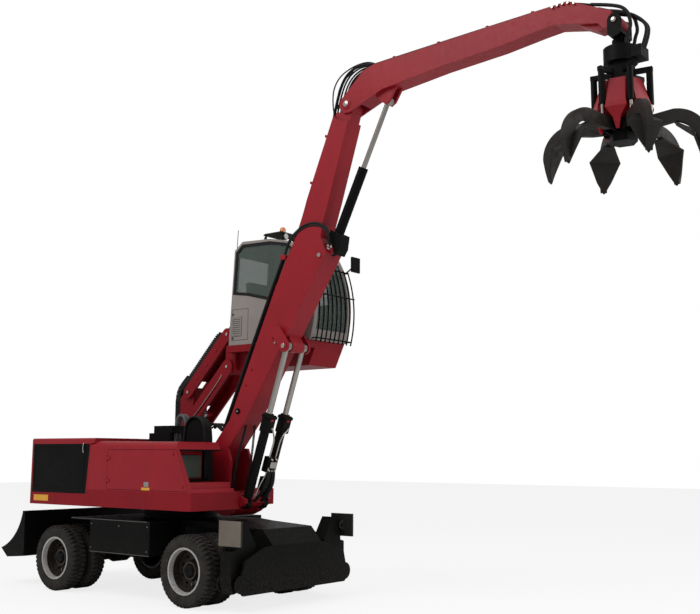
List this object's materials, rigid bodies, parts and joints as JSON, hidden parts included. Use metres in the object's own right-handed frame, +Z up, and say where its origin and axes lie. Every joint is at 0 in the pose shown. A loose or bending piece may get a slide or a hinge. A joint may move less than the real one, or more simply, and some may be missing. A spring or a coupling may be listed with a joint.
{
  "type": "wheeled material handler",
  "caption": "Wheeled material handler with a raised cab on a lifting arm, gooseneck boom, long stick and an open orange-peel grab, in dark red and black.",
  "frame": {"origin": "centre of the bounding box, on the ground under the wheels", "axes": "+X towards the front of the machine, where the boom reaches; +Y to its left; +Z up"},
  "size_m": [11.9813, 2.72, 8.1541],
  "materials": {
    "bare_steel": "worn",
    "black_paint": "satin",
    "black_plastic": "matte",
    "black_rubber": "matte",
    "cast_block": "matte",
    "chrome_rod": "polished",
    "dark_red_paint": "satin",
    "grey_paint": "satin",
    "red_paint": "satin",
    "rim_paint": "satin",
    "seat_fabric": "matte",
    "tyre_rubber": "matte",
    "window_glass": "tinted"
  },
  "bodies": {
    "chassis": {"chassis": "black_paint", "axles": "black_paint", "slew_ring": "black_paint", "stabiliser_plates": "black_paint"},
    "knuckle_left": {"knuckle_left": "black_paint"},
    "knuckle_right": {"knuckle_right": "black_paint"},
    "wheel_front_left": {"tyres_front_left": "tyre_rubber", "rim_front_left": "rim_paint"},
    "wheel_front_right": {"tyres_front_right": "tyre_rubber", "rim_front_right": "rim_paint"},
    "wheel_rear_left": {"tyres_rear_left": "tyre_rubber", "rim_rear_left": "rim_paint"},
    "wheel_rear_right": {"tyres_rear_right": "tyre_rubber", "rim_rear_right": "rim_paint"},
    "blade": {"blade": "black_paint"},
    "blade_barrels": {"blade_barrels": "black_paint"},
    "blade_rods": {"blade_rods": "chrome_rod"},
    "stabiliser_arm_left": {"stabiliser_arm_left": "black_paint"},
    "stabiliser_arm_right": {"stabiliser_arm_right": "black_paint"},
    "stabiliser_pad_left": {"stabiliser_pad_left": "bare_steel"},
    "stabiliser_pad_right": {"stabiliser_pad_right": "bare_steel"},
    "upper": {"platform": "dark_red_paint", "engine_hood": "red_paint", "grille_panel": "black_paint", "side_hood": "red_paint", "engine": "cast_block", "valve_block": "black_paint"},
    "hood_door": {"hood_door": "red_paint"},
    "boom": {"boom": "red_paint", "boom_hoses": "black_rubber"},
    "lift_barrels": {"lift_barrels": "red_paint"},
    "lift_rods": {"lift_rods": "chrome_rod"},
    "stick": {"stick": "red_paint", "stick_hoses": "black_rubber"},
    "stick_barrel": {"stick_barrel": "red_paint"},
    "stick_rod": {"stick_rod": "chrome_rod"},
    "link": {"link": "black_paint"},
    "rotator": {"rotator": "black_paint"},
    "grab": {"grab_hub": "black_paint", "grab_covers": "red_paint"},
    "grab_rods": {"grab_rods": "chrome_rod"},
    "riser_lower": {"riser_lower_arm": "dark_red_paint"},
    "riser_upper": {"riser_upper_arm": "dark_red_paint", "drag_chain": "black_plastic"},
    "cab": {"cab_base": "dark_red_paint", "cab_shell": "grey_paint", "cab_glass": "window_glass", "cab_interior": "seat_fabric", "cab_guard": "black_paint", "roof_lamps": "black_plastic"},
    "cab_door": {"cab_door": "grey_paint", "door_glass": "window_glass"},
    "riser_barrel": {"riser_barrel": "dark_red_paint"},
    "riser_rod": {"riser_rod": "chrome_rod"},
    "tine_1": {"tine_1": "bare_steel"},
    "tine_2": {"tine_2": "bare_steel"},
    "tine_3": {"tine_3": "bare_steel"},
    "tine_4": {"tine_4": "bare_steel"},
    "tine_5": {"tine_5": "bare_steel"},
    "tine_6": {"tine_6": "bare_steel"}
  },
  "joints": [
    {"name": "steer_left", "type": "hinge", "parent": "chassis", "child": "knuckle_left", "pos_m": [-4.42565, 0.66, 0.525], "axis": [0, 0, 1], "range_deg": [-25, 25]},
    {"name": "steer_right", "type": "hinge", "parent": "chassis", "child": "knuckle_right", "pos_m": [-4.42565, -0.66, 0.525], "axis": [0, 0, 1], "range_deg": [-25, 25]},
    {"name": "wheel_front_left_turn", "type": "hinge", "parent": "chassis", "child": "wheel_front_left", "pos_m": [-1.37565, 1.025, 0.525], "axis": [0, 1, 0], "continuous": true},
    {"name": "wheel_front_right_turn", "type": "hinge", "parent": "chassis", "child": "wheel_front_right", "pos_m": [-1.37565, -1.025, 0.525], "axis": [0, 1, 0], "continuous": true},
    {"name": "wheel_rear_left_turn", "type": "hinge", "parent": "knuckle_left", "child": "wheel_rear_left", "pos_m": [-4.42565, 1.025, 0.525], "axis": [0, 1, 0], "continuous": true},
    {"name": "wheel_rear_right_turn", "type": "hinge", "parent": "knuckle_right", "child": "wheel_rear_right", "pos_m": [-4.42565, -1.025, 0.525], "axis": [0, 1, 0], "continuous": true},
    {"name": "blade_lift", "type": "hinge", "parent": "chassis", "child": "blade", "pos_m": [-4.90065, 0, 0.55], "axis": [0, -1, 0], "range_deg": [0, 30.5]},
    {"name": "blade_barrel_swing", "type": "hinge", "parent": "chassis", "child": "blade_barrels", "pos_m": [-4.55065, 0, 0.95], "axis": [0, -1, 0], "range_deg": [0, 13.44]},
    {"name": "blade_rod_slide", "type": "slide", "parent": "blade_barrels", "child": "blade_rods", "axis": [-0.997, 0, -0.0779], "range_m": [0, 0.1816]},
    {"name": "stabiliser_left_swing", "type": "hinge", "parent": "chassis", "child": "stabiliser_arm_left", "pos_m": [-0.58065, 1.17, 0.4], "axis": [-1, 0, 0], "range_deg": [0, 117]},
    {"name": "stabiliser_pad_left_tilt", "type": "hinge", "parent": "stabiliser_arm_left", "child": "stabiliser_pad_left", "pos_m": [-0.58065, 1.19, 1.1], "axis": [-1, 0, 0], "range_deg": [-20, 20]},
    {"name": "stabiliser_right_swing", "type": "hinge", "parent": "chassis", "child": "stabiliser_arm_right", "pos_m": [-0.58065, -1.17, 0.4], "axis": [1, 0, 0], "range_deg": [0, 117]},
    {"name": "stabiliser_pad_right_tilt", "type": "hinge", "parent": "stabiliser_arm_right", "child": "stabiliser_pad_right", "pos_m": [-0.58065, -1.19, 1.1], "axis": [1, 0, 0], "range_deg": [-20, 20]},
    {"name": "upper_slew", "type": "hinge", "parent": "chassis", "child": "upper", "pos_m": [-2.90065, 0, 1.38], "axis": [0, 0, 1], "continuous": true},
    {"name": "hood_door_swing", "type": "hinge", "parent": "upper", "child": "hood_door", "pos_m": [-3.19865, -1.337, 1.975], "axis": [0, 0, -1], "range_deg": [0, 100]},
    {"name": "boom_lift", "type": "hinge", "parent": "upper", "child": "boom", "pos_m": [-2.04065, 0, 2.08], "axis": [0, -1, 0], "range_deg": [-42, 4]},
    {"name": "lift_barrel_swing", "type": "hinge", "parent": "upper", "child": "lift_barrels", "pos_m": [-1.25065, 0, 1.45], "axis": [0, -1, 0], "range_deg": [-40.98, 4.36]},
    {"name": "lift_rod_slide", "type": "slide", "parent": "lift_barrels", "child": "lift_rods", "axis": [0.3127, 0, 0.9499], "range_m": [-0.7278, 0.0711]},
    {"name": "stick_fold", "type": "hinge", "parent": "boom", "child": "stick", "pos_m": [0.64635, 0, 7.515], "axis": [0, 1, 0], "range_deg": [-9, 65]},
    {"name": "stick_barrel_swing", "type": "hinge", "parent": "boom", "child": "stick_barrel", "pos_m": [0.28435, 0, 5.3], "axis": [0, -1, 0], "range_deg": [-0.68, 1.78]},
    {"name": "stick_rod_slide", "type": "slide", "parent": "stick_barrel", "child": "stick_rod", "axis": [0.4367, 0, 0.8996], "range_m": [-0.7535, 0.1061]},
    {"name": "link_swing", "type": "hinge", "parent": "stick", "child": "link", "pos_m": [4.95935, 0, 7.69], "axis": [0, -1, 0], "range_deg": [-10, 70]},
    {"name": "rotator_swing", "type": "hinge", "parent": "link", "child": "rotator", "pos_m": [4.95935, 0, 7.44], "axis": [1, 0, 0], "range_deg": [-20, 20]},
    {"name": "grab_turn", "type": "hinge", "parent": "rotator", "child": "grab", "pos_m": [4.95935, 0, 7.15], "axis": [0, 0, 1], "continuous": true},
    {"name": "tine_1_swing", "type": "hinge", "parent": "grab", "child": "tine_1", "pos_m": [5.18658, 0.03558, 6.3], "axis": [-0.1547, 0.988, 0], "range_deg": [0, 58]},
    {"name": "tine_2_swing", "type": "hinge", "parent": "grab", "child": "tine_2", "pos_m": [5.04215, 0.21458, 6.3], "axis": [-0.933, 0.36, 0], "range_deg": [0, 58]},
    {"name": "tine_3_swing", "type": "hinge", "parent": "grab", "child": "tine_3", "pos_m": [4.81492, 0.179, 6.3], "axis": [-0.7782, -0.628, 0], "range_deg": [0, 58]},
    {"name": "tine_4_swing", "type": "hinge", "parent": "grab", "child": "tine_4", "pos_m": [4.73212, -0.03558, 6.3], "axis": [0.1547, -0.988, 0], "range_deg": [0, 58]},
    {"name": "tine_5_swing", "type": "hinge", "parent": "grab", "child": "tine_5", "pos_m": [4.87655, -0.21458, 6.3], "axis": [0.933, -0.36, 0], "range_deg": [0, 58]},
    {"name": "tine_6_swing", "type": "hinge", "parent": "grab", "child": "tine_6", "pos_m": [5.10378, -0.179, 6.3], "axis": [0.7782, 0.628, 0], "range_deg": [0, 58]},
    {"name": "grab_rods_slide", "type": "slide", "parent": "grab", "child": "grab_rods", "axis": [0, 0, -1], "range_m": [0, 0.1283]},
    {"name": "riser_lift", "type": "hinge", "parent": "upper", "child": "riser_lower", "pos_m": [-3.31465, 0.7, 2.736], "axis": [0, -1, 0], "range_deg": [-86, 0]},
    {"name": "riser_upper_follow", "type": "hinge", "parent": "upper", "child": "riser_upper", "pos_m": [-3.33165, 0.7, 3.291], "axis": [0, -1, 0], "range_deg": [-86.5, 0]},
    {"name": "cab_level", "type": "hinge", "parent": "riser_lower", "child": "cab", "pos_m": [-2.39365, 0.7, 3.695], "axis": [0, -1, 0], "range_deg": [0, 86.5]},
    {"name": "riser_barrel_swing", "type": "hinge", "parent": "upper", "child": "riser_barrel", "pos_m": [-3.09065, 0.7, 1.74], "axis": [0, -1, 0], "range_deg": [-3.53, 0]},
    {"name": "riser_rod_slide", "type": "slide", "parent": "riser_barrel", "child": "riser_rod", "axis": [-0.0351, 0, 0.9994], "range_m": [-0.3468, 0]},
    {"name": "cab_door_swing", "type": "hinge", "parent": "cab", "child": "cab_door", "pos_m": [-1.74265, 1.342, 4.8], "axis": [0, 0, 1], "range_deg": [0, 85]}
  ],
  "couplings": [
    {"joint": "steer_right", "follows": "steer_left", "ratio": 1},
    {"joint": "blade_barrel_swing", "follows": "blade_lift", "ratio": 0.42434},
    {"joint": "blade_rod_slide", "follows": "blade_lift", "m_per_rad": 0.33742},
    {"joint": "lift_barrel_swing", "follows": "boom_lift", "ratio": 0.96375},
    {"joint": "lift_rod_slide", "follows": "boom_lift", "m_per_rad": 0.99007},
    {"joint": "stick_barrel_swing", "follows": "stick_fold", "ratio": 0.01966},
    {"joint": "stick_rod_slide", "follows": "stick_fold", "m_per_rad": -0.66243},
    {"joint": "riser_upper_follow", "follows": "riser_lift", "ratio": 1},
    {"joint": "cab_level", "follows": "riser_lift", "ratio": -1},
    {"joint": "riser_barrel_swing", "follows": "riser_lift", "ratio": 0.03519},
    {"joint": "riser_rod_slide", "follows": "riser_lift", "m_per_rad": 0.22969},
    {"joint": "grab_rods_slide", "follows": "tine_1_swing", "m_per_rad": 0.12476},
    {"joint": "tine_2_swing", "follows": "tine_1_swing", "ratio": 1},
    {"joint": "tine_3_swing", "follows": "tine_1_swing", "ratio": 1},
    {"joint": "tine_4_swing", "follows": "tine_1_swing", "ratio": 1},
    {"joint": "tine_5_swing", "follows": "tine_1_swing", "ratio": 1},
    {"joint": "tine_6_swing", "follows": "tine_1_swing", "ratio": 1}
  ]
}
